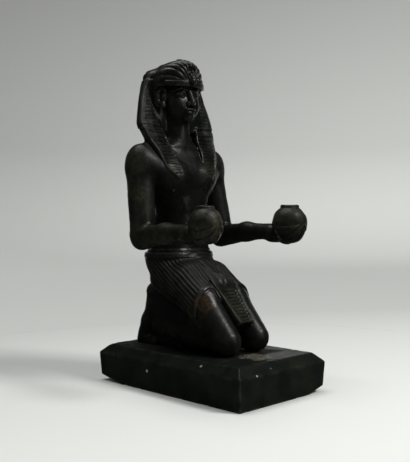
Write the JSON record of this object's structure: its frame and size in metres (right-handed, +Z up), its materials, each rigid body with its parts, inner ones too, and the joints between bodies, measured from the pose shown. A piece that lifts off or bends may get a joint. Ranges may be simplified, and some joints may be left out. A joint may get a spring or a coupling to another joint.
{
  "type": "kneeling king statuette",
  "caption": "Small dark statuette of a kneeling king in a pleated kilt and striped headcloth, holding out round jars, on a chamfered plinth.",
  "frame": {"origin": "middle of the plinth's underside", "axes": "+Z up, the figure faces -Y, and its left hand is on the +X side"},
  "size_m": [0.0762, 0.1, 0.1666],
  "materials": {
    "figure_stone": "near-black cast stone with an olive-brown rub on the raised parts and a soft waxed sheen",
    "plinth_stone": "dark green-black polished stone with pale mineral specks, a rougher top and brown wear along the edges"
  },
  "bodies": {
    "root": {"figure": "figure_stone", "plinth": "plinth_stone"}
  },
  "joints": []
}
